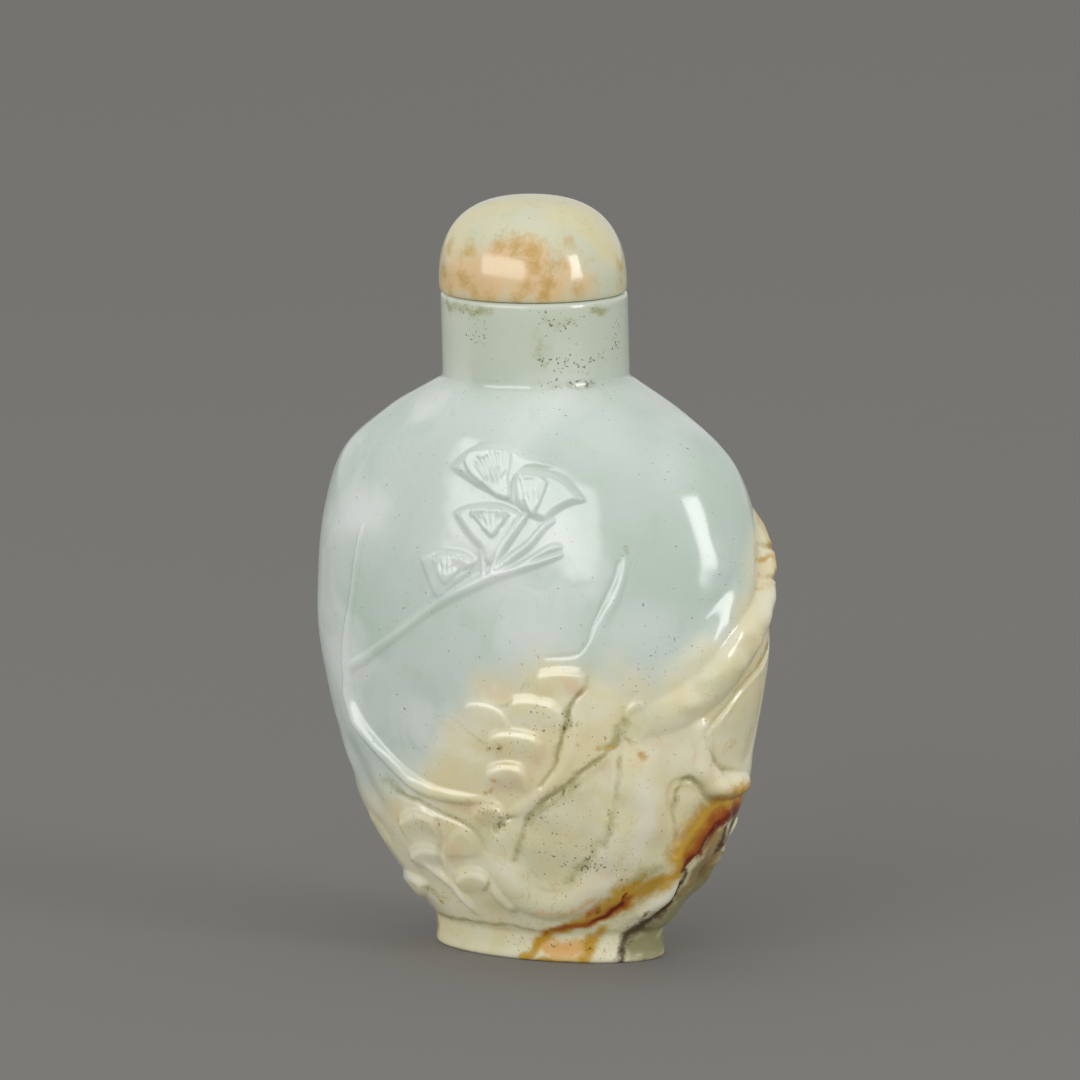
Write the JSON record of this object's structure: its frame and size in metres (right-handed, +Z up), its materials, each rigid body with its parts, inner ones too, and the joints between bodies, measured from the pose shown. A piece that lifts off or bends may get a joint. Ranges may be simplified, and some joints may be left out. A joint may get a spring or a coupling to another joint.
{
  "type": "carved jadeite snuff bottle with stopper",
  "caption": "Flattened oval carved jade snuff bottle with a cylindrical neck, oval foot, pine and rockwork relief, and a loose domed stopper.",
  "frame": {"origin": "in the plane that the foot stands on, below the middle of the whole outline", "axes": "+X along the broad side towards the trunk in high relief, -Y out of the carved front, +Z up through the neck"},
  "size_m": [0.0455, 0.0291, 0.07],
  "materials": {
    "jadeite": "polished translucent jadeite, pale celadon above, cream yellow-green below, with olive grooves and an orange to brown vein low on one side",
    "stopper_jadeite": "polished translucent jadeite, cream and celadon with ochre patches low on the front"
  },
  "bodies": {
    "root": {"bottle": "jadeite", "stopper": "stopper_jadeite"}
  },
  "joints": []
}
